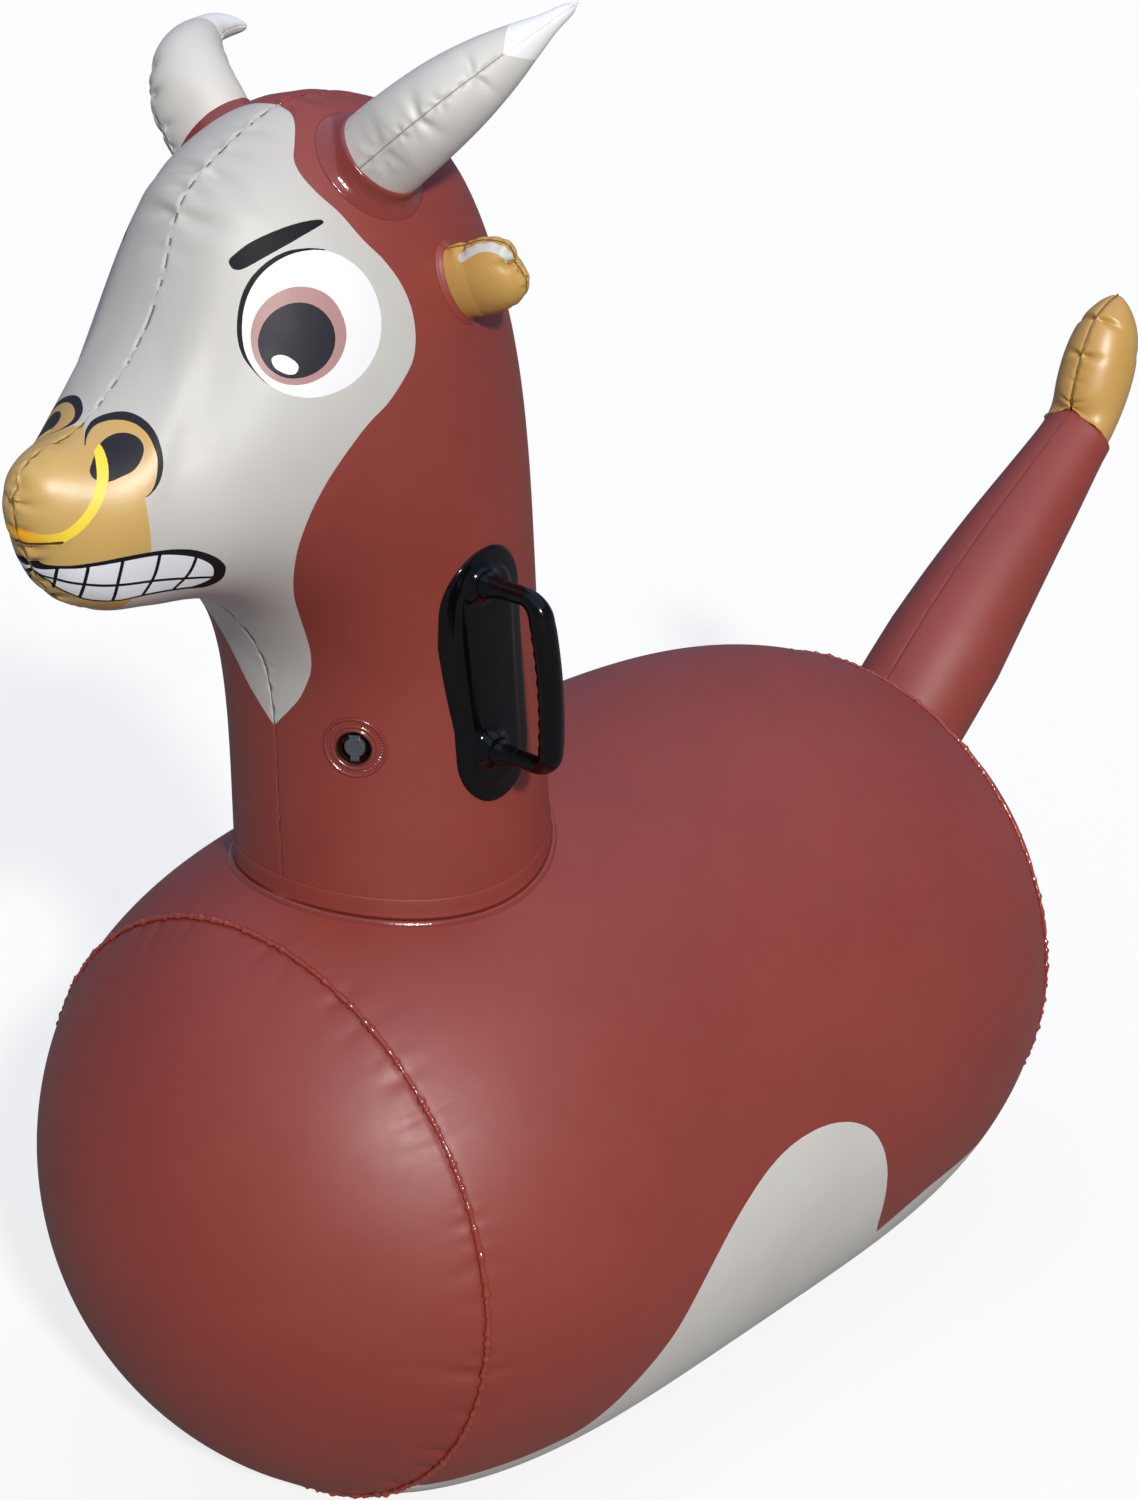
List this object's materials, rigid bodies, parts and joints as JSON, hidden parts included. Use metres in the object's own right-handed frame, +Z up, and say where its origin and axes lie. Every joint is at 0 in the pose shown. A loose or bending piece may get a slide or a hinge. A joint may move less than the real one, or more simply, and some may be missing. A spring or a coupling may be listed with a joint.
{
  "type": "animal hopper",
  "caption": "Inflatable ride-on bull with a fat barrel seat, upright neck and head, curved horns, ears, a raised tail, folding neck handles and an air valve.",
  "frame": {"origin": "on the ground under the middle of the barrel, in the middle of the flat strip it rests on", "axes": "+Z up, -Y the way the bull faces, +X its left side"},
  "size_m": [0.48, 1.1599, 1.0101],
  "materials": {
    "brown_pvc": "satin printed PVC film, heat welded",
    "light_grey_pvc": "satin PVC film, heat welded",
    "ochre_pvc": "satin PVC film, heat welded",
    "black_moulded_pvc": "glossy moulded soft PVC",
    "clear_pvc": "clear moulded soft PVC"
  },
  "bodies": {
    "bull": {"barrel_panel": "brown_pvc", "front_cap": "brown_pvc", "rear_cap": "brown_pvc", "front_cap_weld": "brown_pvc", "rear_cap_weld": "brown_pvc", "head_panel_left": "brown_pvc", "head_panel_right": "brown_pvc", "head_seam_weld": "brown_pvc", "neck_collar": "brown_pvc", "left_horn_collar": "brown_pvc", "right_horn_collar": "brown_pvc", "left_ear_collar": "brown_pvc", "right_ear_collar": "brown_pvc", "tail_panel_left": "brown_pvc", "tail_panel_right": "brown_pvc", "tail_top_weld": "brown_pvc", "tail_bottom_weld": "brown_pvc", "tail_collar": "brown_pvc", "valve_flange": "brown_pvc", "valve_cup": "brown_pvc", "left_horn_upper_panel": "light_grey_pvc", "left_horn_lower_panel": "light_grey_pvc", "left_horn_seam_weld": "light_grey_pvc", "right_horn_upper_panel": "light_grey_pvc", "right_horn_lower_panel": "light_grey_pvc", "right_horn_seam_weld": "light_grey_pvc", "left_ear_front_panel": "ochre_pvc", "left_ear_back_panel": "ochre_pvc", "left_ear_seam_weld": "ochre_pvc", "right_ear_front_panel": "ochre_pvc", "right_ear_back_panel": "ochre_pvc", "right_ear_seam_weld": "ochre_pvc", "tuft_panel_left": "ochre_pvc", "tuft_panel_right": "ochre_pvc", "tuft_seam_weld": "ochre_pvc", "tuft_joint_weld": "ochre_pvc", "left_handle_base": "black_moulded_pvc", "right_handle_base": "black_moulded_pvc"},
    "left_grip": {"left_handle_grip": "black_moulded_pvc"},
    "right_grip": {"right_handle_grip": "black_moulded_pvc"},
    "stem": {"valve_stem": "clear_pvc"},
    "plug": {"valve_plug": "clear_pvc"},
    "flap": {"valve_flap": "clear_pvc"}
  },
  "joints": [
    {"name": "left_grip_fold", "type": "hinge", "parent": "bull", "child": "left_grip", "pos_m": [0.12034, -0.203, 0.6135], "axis": [0, -0.0958, 0.9954], "range_deg": [-65, 65]},
    {"name": "right_grip_fold", "type": "hinge", "parent": "bull", "child": "right_grip", "pos_m": [-0.12034, -0.203, 0.6135], "axis": [0, -0.0958, 0.9954], "range_deg": [-1, 129]},
    {"name": "valve_stem_slide", "type": "slide", "parent": "bull", "child": "stem", "axis": [0.5446, -0.8387, 0], "range_m": [0, 0.0115]},
    {"name": "valve_plug_swing", "type": "hinge", "parent": "stem", "child": "plug", "pos_m": [0.05512, -0.26388, 0.5717], "axis": [-0.8387, -0.5446, 0], "range_deg": [0, 85]},
    {"name": "valve_flap_swing", "type": "hinge", "parent": "stem", "child": "flap", "pos_m": [0.04072, -0.2417, 0.5701], "axis": [0.8387, 0.5446, 0], "range_deg": [0, 50], "stiffness_Nm_per_rad": 0.0005}
  ]
}
